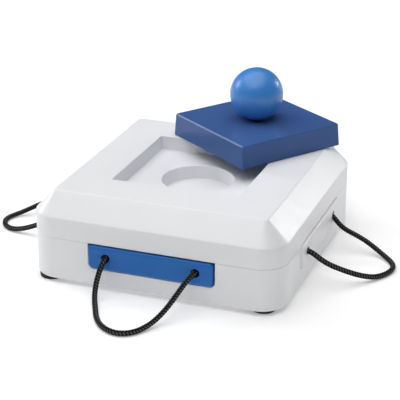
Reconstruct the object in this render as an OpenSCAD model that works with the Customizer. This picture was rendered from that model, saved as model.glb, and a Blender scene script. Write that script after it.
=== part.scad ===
// Treat puzzle for a dog. A square two-part housing has a treat well in its top, under a lift-off lid
// with a ball for a handle, and three drawers that pull out by rope loops.
// The table is z = 0, the housing's centre is the origin, and its front is -Y.

/* [Housing] */
// Width and depth of the square housing
body_side = 200; // [188:1:230]
// Corner radius of the upright walls
body_corner_r = 21; // [16:0.5:26]
// Height of the lower housing, from its underside up to the parting line
base_h = 33.7; // [31:0.1:42]
// Height of the upright wall of the upper housing
top_wall_h = 16; // [13:0.5:24]
// Height of the sloped shoulder
shoulder_h = 16.7; // [14:0.1:22]
// How far the shoulder leans in over its height
shoulder_inset = 15.6; // [10:0.1:18]
// Corner radius of the flat top
plateau_corner_r = 3; // [1:0.5:6]
// Wall thickness of the housing mouldings
wall = 2.5; // [2:0.1:3.2]
// Height of the locating lip above the parting line
lip_h = 2; // [1:0.5:3]
// Depth of the lip's root below the parting line
lip_root = 3; // [2:0.5:5]
// Thickness of the locating lip
lip_t = 1.2; // [0.8:0.1:2]
// Clearance round the locating lip
lip_gap = 0.2; // [0.1:0.05:0.4]

/* [Recess and well] */
// Depth of the square recess in the flat top
recess_depth = 12; // [8:0.5:15]
// Corner radius of the recess
recess_corner_r = 1.5; // [0.5:0.5:4]
// Diameter of the round treat well
well_d = 56.4; // [40:0.2:70]
// Depth of the treat well below the recess floor
well_depth = 11.5; // [6:0.5:14]

/* [Lid] */
// Side of the square lid at its foot
lid_side = 97; // [84:0.5:108]
// Draw-in of each side over the lid's height
lid_draft = 1; // [0:0.1:2]
// Height of the lid
lid_h = 18.5; // [16:0.5:24]
// Wall thickness of the lid
lid_wall = 2.5; // [1.8:0.1:3.2]
// Radius of the lid's edges and corners
lid_edge_r = 1.2; // [0.6:0.1:2.2]
// Play of the lid in the recess, on each side
lid_play = 2.5; // [1:0.1:4]
// Gap under the lid where it is parked on the flat top
lid_rest_gap = 0.3; // [0.2:0.05:0.5]
// Parked lid's place to the right of the centre line
lid_park_x = 25.5; // [0:0.5:40]
// Parked lid's centre, measured in from the rear edge of the flat top
lid_set_back = 16.6; // [10:0.2:40]
// Turn of the parked lid about the vertical
lid_yaw = -35.5; // [-90:0.5:90]

/* [Ball knob] */
// Diameter of the ball
ball_d = 43; // [34:0.5:52]
// Diameter of the flat where the ball meets the lid
ball_seat_d = 9; // [6:0.5:14]
// Diameter of the knob screw's shank
knob_screw_d = 4; // [3:0.1:5]
// Diameter of the knob screw's head
knob_head_d = 8; // [6:0.1:9]
// Height of the knob screw's head
knob_head_h = 2.6; // [2:0.1:3]
// Length of the knob screw inside the ball
knob_bite = 14; // [8:0.5:24]
// Diameter of the washer under the knob screw's head
washer_d = 11; // [9:0.5:13]
// Thickness of the washer
washer_t = 1; // [0.8:0.1:1.5]
// Diameter of the boss under the lid
lid_boss_d = 14; // [12:0.5:20]
// Length of the boss under the lid
lid_boss_h = 8; // [5:0.5:9]

/* [Drawers] */
// Width of a drawer's front plate
drawer_w = 99; // [84:0.5:108]
// Height of a drawer's front plate
drawer_h = 18.6; // [17:0.1:21]
// Gap between a front plate and its opening
drawer_gap = 0.7; // [0.5:0.1:1]
// Thickness of a front plate
drawer_front_t = 3; // [2.4:0.1:4]
// Radius of a front plate's lower corners
drawer_corner_r = 3.5; // [2:0.1:4]
// How far the tray is set in from the front plate's ends
tray_inset = 2; // [1.8:0.1:3]
// Height of the tray's side walls
tray_h = 16; // [13:0.5:16.5]
// Thickness of the tray's walls and floor
tray_wall = 2; // [1.5:0.1:2.5]
// Running clearance between a tray and its guides and rails
slide_gap = 0.3; // [0.2:0.05:0.5]
// Gap behind a closed tray
rear_gap = 0.5; // [0.3:0.1:1]
// Length of tray that stays in the housing when a drawer is pulled out
drawer_hold = 13; // [10:0.5:20]
// Width of the pull stop under a tray
stop_w = 30; // [20:1:50]
// Thickness of the pull stop
stop_t = 3; // [2:0.5:4]
// Drop of the pull stop below its tray
stop_drop = 4; // [3:0.5:6]
// Gap left at the pull stop when a drawer is pulled out
stop_gap = 0.5; // [0.3:0.1:1]

/* [Drawer guides] */
// Thickness of the guide walls and rails
guide_t = 2; // [1.5:0.1:3]
// Height of the guide walls above a tray's underside
guide_rise = 10; // [6:0.5:14]
// Spacing of the two rails under a tray
rail_spread = 80; // [60:1:84]
// Room left between neighbouring drawer pockets
corner_room = 2.7; // [2:0.1:5]

/* [Rope loops] */
// Diameter of the rope
rope_d = 4.2; // [3.4:0.1:4.4]
// Spacing of the two rope holes in a front plate
rope_span = 71; // [50:1:76]
// Height of the rope holes above a front plate's lower edge
rope_rise = 9.5; // [8:0.1:10.5]
// Diameter of the rope holes
rope_hole_d = 6.4; // [4.8:0.1:6.8]
// Diameter of a stopper knot
knot_d = 10.5; // [9:0.1:11]
// Distance from a knot's middle to its seat on the front plate
knot_seat = 3; // [2:0.1:4]

/* [Feet] */
// Height of a foot below the housing
foot_h = 3.6; // [2:0.1:6]
// Diameter of a foot
foot_d = 19; // [14:0.5:22]
// Bevel of a foot's lower edge
foot_bevel = 0.8; // [0.4:0.1:1.2]
// Distance of a foot's centre from the outside of each wall
foot_inset = 15.5; // [13:0.5:18]
// Diameter of a foot's stem
foot_stem_d = 6; // [4:0.5:8]
// Clearance round a foot's stem
foot_stem_gap = 0.1; // [0.05:0.05:0.2]
// Length of a foot's stem above the housing floor
foot_stem_proud = 1.5; // [0.5:0.5:3]

/* [Housing screws] */
// Distance of a screw's axis from the outside of each wall
boss_inset = 28; // [26:0.5:32]
// Diameter of a lower boss
base_boss_d = 11; // [10:0.5:14]
// Height of a lower boss, from the housing's underside
base_boss_h = 18; // [16:0.5:24]
// Thickness of the seat under a screw's head
boss_seat_t = 8; // [5:0.5:10]
// Diameter of an upper boss
top_boss_d = 9; // [7:0.5:12]
// Diameter of a screw's shank
screw_d = 3; // [2.5:0.1:3.5]
// Diameter of a screw's head
screw_head_d = 6.4; // [5:0.1:7]
// Height of a screw's head
screw_head_h = 2.4; // [1.8:0.1:3]
// Length of a screw inside its upper boss
screw_bite = 12; // [8:0.5:20]
// Clearance round a screw's shank and head in the lower boss
screw_gap = 0.3; // [0.2:0.05:0.5]
// Clearance round a screw in the hole that it bites into
thread_gap = 0.05; // [0.02:0.01:0.1]

/* [Hidden] */
$fn = 72;

// Facets round the shapes that are drawn as a skin over several others
skin_fn = 32;
// Thin slice that a skin is drawn over
slice = 0.01;
// How far one part of a moulding runs into the next
weld = 0.5;
// How far a cut runs past the face that it opens
past = 1;

// Heights of the housing
split_z = foot_h + base_h;
wall_top_z = split_z + top_wall_h;
plateau_z = wall_top_z + shoulder_h;
floor_z = foot_h + wall;
half = body_side / 2;
plateau_half = half - shoulder_inset;

// Inside of the upper housing, a wall's thickness in from the outside
shoulder_len = sqrt(shoulder_h * shoulder_h + shoulder_inset * shoulder_inset);
inner_wall_top_z = wall_top_z + wall * (shoulder_h - shoulder_len) / shoulder_inset;
inner_plateau_half = half - (wall * shoulder_len + shoulder_inset * (shoulder_h - wall)) / shoulder_h;
inner_corner_r = body_corner_r - wall;

// Recess and well
recess_side = lid_side + 2 * lid_play;
recess_z = plateau_z - recess_depth;
well_z = recess_z - well_depth;

// Parked lid
lid_park_y = plateau_half - lid_set_back;
lid_z = plateau_z + lid_rest_gap;
lid_top_side = lid_side - 2 * lid_draft;
lid_boss_z = lid_h - lid_wall - lid_boss_h;
washer_z = lid_boss_z - washer_t;
ball_rise = sqrt(ball_d * ball_d - ball_seat_d * ball_seat_d) / 2;

// Drawers, in the frame of a housing face: x along the face, y inwards from it, z up from the table
opening_w = drawer_w + 2 * drawer_gap;
opening_h = drawer_h + 2 * drawer_gap;
opening_z = split_z - opening_h;
drawer_z = opening_z + drawer_gap;
tray_w = drawer_w - 2 * tray_inset;
pocket_half = tray_w / 2 + slide_gap + guide_t;
drawer_depth = half - pocket_half - corner_room - guide_t - rear_gap;
drawer_travel = drawer_depth - drawer_hold;
stop_y = wall + drawer_travel + stop_gap;
guide_top_z = drawer_z + guide_rise;
rail_top_z = drawer_z - slide_gap;
rope_z = drawer_z + rope_rise;

// Way that each drawer's face looks, in x and y
FRONT = [0, -1];
RIGHT = [1, 0];
LEFT = [-1, 0];

// Feet and housing screws
foot_at = half - foot_inset;
boss_at = half - boss_inset;
boss_meet_z = foot_h + base_boss_h;
boss_seat_z = boss_meet_z - boss_seat_t;

// Rope routes: along the face, out from the face, and up from the table
rope_sides = 10;
rope_end_left = [-rope_span / 2, -drawer_front_t, rope_z];
rope_end_right = [rope_span / 2, -drawer_front_t, rope_z];
ROUTE_FRONT = [
    rope_end_left, [-35.5, 0.6, 27.5], [-35.8, 4.6, 26], [-36.5, 8, 22.8], [-37.3, 10.4, 18.4],
    [-38, 12.6, 13.6], [-38, 15.4, 8.8], [-36.8, 19.4, 4.8], [-34.4, 24.6, 2.4], [-31.2, 30.8, 2.2],
    [-28.2, 36.8, 2.2], [-25, 43, 2.2], [-20.5, 50, 2.2], [-14, 56.4, 2.2], [-6, 60.8, 2.2],
    [2.5, 61, 2.2], [9.4, 56.4, 2.2], [13.8, 49.4, 2.4], [17.4, 42.6, 3.6], [21, 36.4, 6.6],
    [24.2, 30.2, 10.6], [26.8, 24, 14.8], [29, 18.2, 19], [31, 12.8, 22.8], [33, 7.2, 26],
    [34.8, 2, 27.4], rope_end_right
];
ROUTE_RIGHT = [
    rope_end_left, [-35.5, 1, 27.5], [-36.2, 5.6, 26.4], [-36.8, 10.2, 23.4], [-35.8, 16, 19.6],
    [-32.6, 22, 15.8], [-28.6, 28.8, 12], [-24.4, 36, 8.4], [-18.6, 42.8, 5], [-11.8, 49, 2.4],
    [-4, 54.4, 2.2], [5, 57.6, 2.2], [14.4, 56.6, 2.2], [22.4, 51, 2.2], [28, 43.4, 4],
    [31.2, 36.2, 7.2], [32.8, 29.2, 10.6], [33.4, 22.6, 13.4], [33.8, 16.4, 15.6], [34.6, 10.8, 17.6],
    [35.2, 6.8, 20.4], [35.5, 3.6, 23.8], [35.5, 0.6, 26.7], rope_end_right
];
ROUTE_LEFT = [
    rope_end_left, [-35.5, 2, 27.5], [-35.8, 7.5, 26.6], [-34, 13.5, 23.6], [-30, 21, 19.8],
    [-25, 29, 16.4], [-19, 38, 13], [-13.5, 46.5, 9.6], [-8.5, 55, 5.6], [-3, 62.5, 2.4],
    [5, 67.4, 2.2], [14, 67, 2.2], [22, 62.2, 2.2], [26.8, 55, 2.2], [27.8, 46, 3.4],
    [27.4, 38, 6], [28, 30, 9.6], [30, 22.5, 14], [32.4, 15.5, 19], [34.5, 9, 24.2],
    [35.5, 3, 27.5], rope_end_right
];

// Square outline with round corners
module round_square(side, r) {
    square([side, side - 2 * r], center = true);
    square([side - 2 * r, side], center = true);
    for (sx = [-1, 1], sy = [-1, 1])
        translate([sx * (side / 2 - r), sy * (side / 2 - r)])
            circle(r);
}

// Front plate's outline, with its lower edge on y = 0 and round lower corners
module plate_outline(w, h, r) {
    translate([-w / 2, r])
        square([w, h - r]);
    translate([-w / 2 + r, 0])
        square([w - 2 * r, h]);
    for (s = [-1, 1])
        translate([s * (w / 2 - r), r])
            circle(r);
}

// Right half of a disc whose middle is a height above y = 0, cut flat there
module seated_half_disc(d, height) {
    intersection() {
        translate([0, height])
            circle(d = d);
        square([d, 2 * d]);
    }
}

// Stands an outline up in a face's frame and runs it inwards from depth y
module upright(y, depth) {
    translate([0, y + depth, 0])
        rotate([90, 0, 0])
            linear_extrude(depth)
                children();
}

// Carries what is drawn in a face's frame to the face of the housing that looks that way
module on_face(way) {
    translate([way[0] * half, way[1] * half, 0])
        rotate([0, 0, atan2(way[0], -way[1])])
            children();
}

module on_drawer_faces() {
    for (way = [FRONT, RIGHT, LEFT])
        on_face(way)
            children();
}

module at_corners(d) {
    for (sx = [-1, 1], sy = [-1, 1])
        translate([sx * d, sy * d, 0])
            children();
}

module at_lid() {
    translate([lid_park_x, lid_park_y, lid_z])
        rotate([0, 0, lid_yaw])
            children();
}

// Upper housing

// Upright wall from one height to another, with a shoulder above that leans in to a flat top
module shouldered_block(side, corner_r, from_z, to_z, top_side, top_z) {
    hull() {
        translate([0, 0, from_z])
            linear_extrude(to_z - from_z)
                round_square(side, corner_r, $fn = skin_fn);
        translate([0, 0, top_z - slice])
            linear_extrude(slice)
                round_square(top_side, plateau_corner_r, $fn = skin_fn);
    }
}

module top_skin() {
    difference() {
        shouldered_block(body_side, body_corner_r, split_z, wall_top_z, 2 * plateau_half, plateau_z);
        shouldered_block(body_side - 2 * wall, inner_corner_r, split_z - past, inner_wall_top_z,
                         2 * inner_plateau_half, plateau_z - wall);
    }
}

module top_shell() {
    color("whitesmoke")
    difference() {
        union() {
            top_skin();
            translate([0, 0, recess_z - wall])
                linear_extrude(recess_depth + wall / 2)
                    round_square(recess_side + 2 * wall, recess_corner_r + wall);
            translate([0, 0, well_z - wall])
                cylinder(d = well_d + 2 * wall, h = well_depth + wall / 2);
            at_corners(boss_at)
                translate([0, 0, boss_meet_z])
                    cylinder(d = top_boss_d, h = plateau_z - wall / 2 - boss_meet_z);
        }
        translate([0, 0, recess_z])
            linear_extrude(recess_depth + past)
                round_square(recess_side, recess_corner_r);
        translate([0, 0, well_z])
            cylinder(d = well_d, h = well_depth + past);
        at_corners(boss_at)
            translate([0, 0, boss_meet_z - past])
                cylinder(d = screw_d + 2 * thread_gap, h = screw_bite + 2 * past);
    }
}

// Lower housing

module base_skin() {
    difference() {
        translate([0, 0, foot_h])
            linear_extrude(base_h)
                round_square(body_side, body_corner_r);
        translate([0, 0, floor_z])
            linear_extrude(base_h)
                round_square(body_side - 2 * wall, inner_corner_r);
    }
}

module locating_lip() {
    inside = body_side - 2 * (wall + lip_gap + lip_t);
    difference() {
        union() {
            translate([0, 0, split_z - lip_root])
                linear_extrude(lip_root)
                    round_square(body_side - wall, body_corner_r - wall / 2);
            translate([0, 0, split_z - lip_root])
                linear_extrude(lip_root + lip_h)
                    round_square(body_side - 2 * (wall + lip_gap), inner_corner_r - lip_gap);
        }
        translate([0, 0, split_z - lip_root - past])
            linear_extrude(lip_root + lip_h + 2 * past)
                round_square(inside, inner_corner_r - lip_gap - lip_t);
    }
}

// Guide walls beside and behind a tray, and two rails under it
module drawer_pocket() {
    run = drawer_depth + rear_gap + guide_t - wall + weld;
    low_z = floor_z - weld;
    for (s = [-1, 1]) {
        translate([s * (pocket_half - guide_t / 2) - guide_t / 2, wall - weld, low_z])
            cube([guide_t, run, guide_top_z - low_z]);
        translate([s * rail_spread / 2 - guide_t / 2, wall - weld, low_z])
            cube([guide_t, run, rail_top_z - low_z]);
    }
    translate([-pocket_half, drawer_depth + rear_gap, low_z])
        cube([2 * pocket_half, guide_t, guide_top_z - low_z]);
}

module drawer_opening() {
    translate([0, 0, opening_z])
        upright(-past, past + wall + lip_gap + lip_t + slide_gap)
            plate_outline(opening_w, opening_h + lip_h + past, drawer_corner_r + drawer_gap);
}

module base_shell() {
    color("whitesmoke")
    difference() {
        union() {
            base_skin();
            locating_lip();
            on_drawer_faces()
                drawer_pocket();
            at_corners(boss_at)
                translate([0, 0, foot_h])
                    cylinder(d = base_boss_d, h = base_boss_h);
        }
        on_drawer_faces()
            drawer_opening();
        at_corners(boss_at) {
            translate([0, 0, foot_h - past])
                cylinder(d = screw_head_d + 2 * screw_gap, h = boss_seat_z - foot_h + past);
            cylinder(d = screw_d + 2 * screw_gap, h = boss_meet_z + past);
        }
        at_corners(foot_at)
            translate([0, 0, foot_h - past])
                cylinder(d = foot_stem_d + 2 * foot_stem_gap, h = wall + 2 * past);
    }
}

// Feet and housing screws

module foot(sx, sy) {
    color("black")
    translate([sx * foot_at, sy * foot_at, 0])
        rotate_extrude()
            polygon([
                [0, 0],
                [foot_d / 2 - foot_bevel, 0],
                [foot_d / 2, foot_bevel],
                [foot_d / 2, foot_h],
                [foot_stem_d / 2, foot_h],
                [foot_stem_d / 2, floor_z + foot_stem_proud],
                [0, floor_z + foot_stem_proud]
            ]);
}

module housing_screws() {
    color("silver")
    at_corners(boss_at)
        translate([0, 0, boss_seat_z])
            union() {
                translate([0, 0, -screw_head_h])
                    cylinder(d = screw_head_d, h = screw_head_h);
                translate([0, 0, -weld])
                    cylinder(d = screw_d, h = weld + boss_seat_t + screw_bite);
            }
}

// Lid, modelled with its foot on z = 0 and its axis on the origin

// Carries a ball or disc to the four corners of the lid, at one height
module lid_edge(side, z) {
    for (sx = [-1, 1], sy = [-1, 1])
        translate([sx * (side / 2 - lid_edge_r), sy * (side / 2 - lid_edge_r), z])
            children();
}

module lid_shell() {
    color("midnightblue")
    at_lid()
        difference() {
            union() {
                difference() {
                    hull() {
                        lid_edge(lid_side, 0)
                            cylinder(r = lid_edge_r, h = slice, $fn = skin_fn);
                        lid_edge(lid_top_side, lid_h - lid_edge_r)
                            sphere(r = lid_edge_r, $fn = skin_fn);
                    }
                    translate([0, 0, -past])
                        linear_extrude(lid_h - lid_wall + past)
                            square(lid_top_side - 2 * lid_wall, center = true);
                }
                translate([0, 0, lid_boss_z])
                    cylinder(d = lid_boss_d, h = lid_boss_h + lid_wall / 2);
            }
            translate([0, 0, lid_boss_z - past])
                cylinder(d = knob_screw_d + 2 * screw_gap, h = lid_boss_h + lid_wall + 2 * past);
        }
}

module ball_knob() {
    color("royalblue")
    at_lid()
        translate([0, 0, lid_h])
            rotate_extrude()
                difference() {
                    seated_half_disc(ball_d, ball_rise);
                    translate([0, -past])
                        square([knob_screw_d / 2 + thread_gap, knob_bite + 2 * past]);
                }
}

module knob_screw() {
    color("silver")
    at_lid()
        translate([0, 0, washer_z])
            union() {
                translate([0, 0, -knob_head_h])
                    cylinder(d = knob_head_d, h = knob_head_h);
                translate([0, 0, -weld])
                    cylinder(d = knob_screw_d, h = weld + lid_h - washer_z + knob_bite);
            }
}

module knob_washer() {
    color("silver")
    at_lid()
        translate([0, 0, washer_z])
            difference() {
                cylinder(d = washer_d, h = washer_t);
                translate([0, 0, -past])
                    cylinder(d = knob_screw_d + 2 * screw_gap, h = washer_t + 2 * past);
            }
}

// Drawers

module drawer() {
    difference() {
        union() {
            translate([0, 0, drawer_z])
                upright(0, drawer_front_t)
                    plate_outline(drawer_w, drawer_h, drawer_corner_r);
            translate([-tray_w / 2, drawer_front_t - weld, drawer_z])
                cube([tray_w, drawer_depth - drawer_front_t + weld, tray_h]);
            translate([-stop_w / 2, stop_y, drawer_z - stop_drop])
                cube([stop_w, stop_t, stop_drop + weld]);
        }
        translate([-tray_w / 2 + tray_wall, drawer_front_t, drawer_z + tray_wall])
            cube([tray_w - 2 * tray_wall, drawer_depth - drawer_front_t - tray_wall, tray_h]);
        for (s = [-1, 1])
            translate([s * rope_span / 2, -past, rope_z])
                rotate([-90, 0, 0])
                    cylinder(d = rope_hole_d, h = drawer_front_t + 2 * past);
    }
}

module drawer_front() {
    color("steelblue")
    on_face(FRONT)
        drawer();
}

module drawer_right() {
    color("whitesmoke")
    on_face(RIGHT)
        drawer();
}

module drawer_left() {
    color("whitesmoke")
    on_face(LEFT)
        drawer();
}

// Rope loops

function unit(v) = v / norm(v);

// Direction of a route at one of its points: both ends stand square on the front plate
function heading(route, i) =
    let (last = len(route) - 1)
    i == 0 ? [0, -1, 0] : i == last ? [0, 1, 0] : unit(route[i + 1] - route[i - 1]);

// Direction across a route, carried along it from the first point without a twist
function across(route, i) =
    i == 0
        ? [0, 0, 1]
        : let (last = across(route, i - 1), ahead = heading(route, i)) unit(last - (last * ahead) * ahead);

function ring(route, i) =
    let (ahead = heading(route, i), up = across(route, i), side = cross(ahead, up))
    [for (k = [0 : rope_sides - 1])
        let (turn = 360 * k / rope_sides)
        route[i] + rope_d / 2 * (cos(turn) * up + sin(turn) * side)];

// Points of a route, from the order along, out and up to a face's frame
function in_face_frame(route) = [for (p = route) [p[0], -p[1], p[2]]];

module rope(route) {
    path = in_face_frame(route);
    rings = len(path);
    last = (rings - 1) * rope_sides;
    points = [for (i = [0 : rings - 1]) each ring(path, i)];
    sides = [
        for (i = [0 : rings - 2], k = [0 : rope_sides - 1])
            let (
                a = i * rope_sides + k,
                b = i * rope_sides + (k + 1) % rope_sides,
                c = a + rope_sides,
                d = b + rope_sides
            )
            each [[a, c, d], [a, d, b]]
    ];
    first_end = [for (k = [1 : rope_sides - 2]) [0, k, k + 1]];
    last_end = [for (k = [1 : rope_sides - 2]) [last, last + k + 1, last + k]];
    color("black")
        polyhedron(points, concat(sides, first_end, last_end));
}

// Two stopper knots behind a front plate, each flat where it bears on the plate
module knots() {
    color("black")
    for (s = [-1, 1])
        translate([s * rope_span / 2, drawer_front_t, rope_z])
            rotate([-90, 0, 0])
                rotate_extrude()
                    seated_half_disc(knot_d, knot_seat);
}

top_shell();
base_shell();
foot(-1, -1);  // foot_front_left
foot(1, -1);  // foot_front_right
foot(-1, 1);  // foot_rear_left
foot(1, 1);  // foot_rear_right
housing_screws();
lid_shell();
ball_knob();
knob_screw();
knob_washer();
drawer_front();
drawer_left();
drawer_right();
on_face(FRONT) rope(ROUTE_FRONT);  // rope_front
on_face(LEFT) rope(ROUTE_LEFT);  // rope_left
on_face(RIGHT) rope(ROUTE_RIGHT);  // rope_right
on_face(FRONT) knots();  // knots_front
on_face(LEFT) knots();  // knots_left
on_face(RIGHT) knots();  // knots_right
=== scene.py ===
import math

import bmesh
import bpy
import numpy as np
from mathutils import Matrix, Vector


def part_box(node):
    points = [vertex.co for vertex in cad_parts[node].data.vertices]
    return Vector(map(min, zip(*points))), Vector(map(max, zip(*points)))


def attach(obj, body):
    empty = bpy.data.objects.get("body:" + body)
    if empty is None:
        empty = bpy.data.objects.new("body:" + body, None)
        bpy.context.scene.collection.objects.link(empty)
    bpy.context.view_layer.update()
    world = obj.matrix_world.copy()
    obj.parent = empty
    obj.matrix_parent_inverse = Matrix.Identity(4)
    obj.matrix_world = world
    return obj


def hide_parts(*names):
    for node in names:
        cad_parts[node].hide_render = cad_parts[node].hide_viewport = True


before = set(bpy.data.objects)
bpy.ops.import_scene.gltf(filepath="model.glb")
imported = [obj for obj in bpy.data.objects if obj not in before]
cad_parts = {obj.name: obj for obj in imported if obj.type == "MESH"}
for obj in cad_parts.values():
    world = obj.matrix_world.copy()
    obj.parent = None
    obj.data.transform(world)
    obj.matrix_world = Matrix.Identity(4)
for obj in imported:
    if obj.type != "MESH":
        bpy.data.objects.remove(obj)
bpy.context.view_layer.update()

# Looks of a dog puzzle toy: a two-part housing, a lift-off lid with a ball handle,
# and three drawers that pull out by rope loops.
# Lengths are in millimetres in the CAD model's frame: +Z up, the front is -Y, the table is z = 0.
MM = 0.001


def node_box(node):
    """Lowest and highest corner of a CAD node, in millimetres."""
    low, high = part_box(node)
    return Vector(low) / MM, Vector(high) / MM


def node_middle(node):
    low, high = node_box(node)
    return (low + high) / 2


# Places that the CAD model gives
BASE_LOW, BASE_HIGH = node_box("base_shell")
TOP_LOW, TOP_HIGH = node_box("top_shell")
DRAWER_LOW, DRAWER_HIGH = node_box("drawer_front")
BALL_LOW, BALL_HIGH = node_box("ball_knob")
LID_LOW, LID_HIGH = node_box("lid_shell")
HALF = BASE_HIGH.x
UNDERSIDE_Z = BASE_LOW.z
PLATEAU_Z = TOP_HIGH.z
BOSS_MEET_Z = TOP_LOW.z

# Housing
WALL = 2.5
BODY_CORNER_R = 21
LIP_H = 2
LIP_T = 1.2
LIP_GAP = 0.2
LIP_ROOT = 3
SPLIT_Z = BASE_HIGH.z - LIP_H
TOP_WALL_H = 16
WALL_TOP_Z = SPLIT_Z + TOP_WALL_H
SHOULDER_INSET = 15.6
PLATEAU_HALF = HALF - SHOULDER_INSET
PLATEAU_CORNER_R = 3
# Bends of the inner shoulder, placed so that the wall keeps its thickness there
INNER_WALL_TOP_DROP = 0.99
INNER_PLATEAU_INSET = 1.09
INNER_WALL_TOP_Z = WALL_TOP_Z - INNER_WALL_TOP_DROP
INNER_PLATEAU_HALF = PLATEAU_HALF - INNER_PLATEAU_INSET
FLOOR_Z = UNDERSIDE_Z + WALL
SPLIT_EDGE_R = 0.55
WALL_TOP_EDGE_R = 2.6
PLATEAU_EDGE_R = 1.8
UNDERSIDE_EDGE_R = 1.4
INSIDE_EDGE_R = 1

# Recess and well
RECESS_HALF = 51
RECESS_CORNER_R = 1.5
RECESS_DEPTH = 12
RECESS_Z = PLATEAU_Z - RECESS_DEPTH
RECESS_EDGE_R = 0.7
WELL_R = 28.2
WELL_DEPTH = 11.5
WELL_Z = RECESS_Z - WELL_DEPTH
WELL_EDGE_R = 0.9
WELL_FLOOR_R = 1

# Housing screws and their bosses
BOSS_AT = 72
BASE_BOSS_R = 5.5
TOP_BOSS_R = 4.5
PILOT_R = 1.55
PILOT_DEPTH = 14
COUNTERBORE_R = 3.5
SCREW_HOLE_R = 1.8

# Lid and ball
LID_HALF = 48.5
LID_TOP_HALF = 47.5
LID_H = LID_HIGH.z - LID_LOW.z
LID_WALL = 2.5
LID_CORNER_R = 1.2
LID_CHAMFER_IN = 0.8
LID_CHAMFER_DOWN = 1.1
LID_CHAMFER_R = 0.4
LID_FOOT_R = 0.5
LID_YAW = -35.5
LID_BOSS_R = 7
LID_BOSS_H = 8
LID_SCREW_HOLE_R = 2.3
BALL_R = (BALL_HIGH.x - BALL_LOW.x) / 2
BALL_SEAT_R = 4.5

# Drawers, in the frame of a housing face: x along the face, y inwards from it, z up from the table
DRAWER_HALF_W = DRAWER_HIGH.x
DRAWER_TOP_Z = DRAWER_HIGH.z
DRAWER_H = 18.6
DRAWER_Z = DRAWER_TOP_Z - DRAWER_H
DRAWER_GAP = 0.7
DRAWER_DEPTH = DRAWER_HIGH.y - DRAWER_LOW.y
PLATE_T = 3
# How a front plate sits in its opening: what is taken off its top, which may be less than nothing,
# how low it hangs, what is taken off each end, and its shift along the face
BLUE_PLATE_SLACK = 0.4
WHITE_PLATE_SLACK = -0.3
PLATE_SAG = 0.4
PLATE_TRIM = 0.15
PLATE_SHIFT = 0.45
PLATE_CORNER_R = 3.5
# The plate's corners stay rounder than its front edge
PLATE_TOP_CORNER_R = 2.2
PLATE_EDGE_R = 2
PLATE_PROUD = 1.4
PLATE_BACK_R = 0.3
TRAY_INSET = 2
TRAY_H = 16
TRAY_HALF_W = DRAWER_HALF_W - TRAY_INSET
TRAY_TOP_Z = DRAWER_Z + TRAY_H
TRAY_WALL = 2
TRAY_EDGE_R = 0.5
TRAY_CORNER_R = 1.5
TRAY_INSIDE_R = 2
STOP_HALF_W = 15
STOP_T = 3
STOP_Y = 35
STOP_LOW_Z = DRAWER_LOW.z
OPENING_HALF_W = DRAWER_HALF_W + DRAWER_GAP
OPENING_Z = DRAWER_Z - DRAWER_GAP
OPENING_EDGE_R = 0.5
OPENING_TOP_CORNER_R = 0.1

# Drawer guides in the lower housing
GUIDE_T = 2
SLIDE_GAP = 0.3
REAR_GAP = 0.5
POCKET_HALF = TRAY_HALF_W + SLIDE_GAP + GUIDE_T
GUIDE_RISE = 10
GUIDE_TOP_Z = DRAWER_Z + GUIDE_RISE
RAIL_AT = 40
RAIL_TOP_Z = DRAWER_Z - SLIDE_GAP

# Rope loops
ROPE_D = 4.2
ROPE_SPAN = 71
ROPE_RISE = 9.5
ROPE_Z = DRAWER_Z + ROPE_RISE
ROPE_HOLE_R = 3.2
ROPE_HOLE_EDGE_R = 0.5
# A direction that no rope or knot starts along
ROPE_FIRST_ACROSS = (0.3, 0.2, 1)

# Braid of a rope: strands that wind each way, the distance along the rope from one to the next,
# the depth of the relief, how round a strand's back is, and how far it lifts over the others
STRANDS = 4
BRAID_PITCH = 2.3
BRAID_DEPTH = 0.6
STRAND_ROUND = 1.9
STRAND_LIFT = 0.5

# Stopper knots, each a closed trefoil with a tail
KNOT_R = 2.3
KNOT_WAVE = 1.3
KNOT_TURNS = 2
KNOT_WAVES = 3
KNOT_CORD_D = 3.3
KNOT_TAIL = 6
KNOT_TAIL_ASIDE = 0.8
KNOT_TAIL_DROP = 0.6

# Feet and screws
FOOT_EDGE_R = 0.8
FOOT_STEM_R = 3
# How far each foot is pressed in off its CAD place, in x and y
FOOT_SHIFTS = {"front_left": (-2, -3), "front_right": (-1.5, -1), "rear_left": (0, 0), "rear_right": (0, 0)}
SCREW_R = 1.5
SCREW_HEAD_R = 3.2
SCREW_HEAD_H = 2.4
KNOB_SCREW_R = 2
KNOB_HEAD_R = 4
KNOB_HEAD_H = 2.6
WASHER_EDGE_R = 0.2
# Cross slot: its reach and depth as shares of the head's, and its taper from below the mouth to the bottom
CROSS_REACH = 0.55
CROSS_DEPTH = 0.6
CROSS_MOUTH = 1.1
CROSS_BOTTOM = 0.55

# Steps round a corner of the square rings, along a fillet, round a small arc, up the ball, along a stretch
# of a spline and round a knot, then the sides of a rope and the distance between its rings
CORNER_STEPS = 17
FILLET_STEPS = 5
ARC_STEPS = 8
BALL_STEPS = 48
SPLINE_STEPS = 12
KNOT_STEPS = 240
ROPE_SIDES = 64
ROPE_STEP = 0.28
RING_POINTS = 4 * (CORNER_STEPS + 1)
# How far one solid runs into the next, and how far a cut runs past the face that it opens
WELD = 0.5
PAST = 1
# Least size of a fillet, a gap or a ring, and how far a cutter's face stands off the face that it cuts
SMALL = 0.05
TINY = 0.005
# Radius of the end rings of a turned solid or cutter whose ends aren't seen
HIDDEN_END_R = 0.1


# Shapes are pairs of vertices and faces

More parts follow.
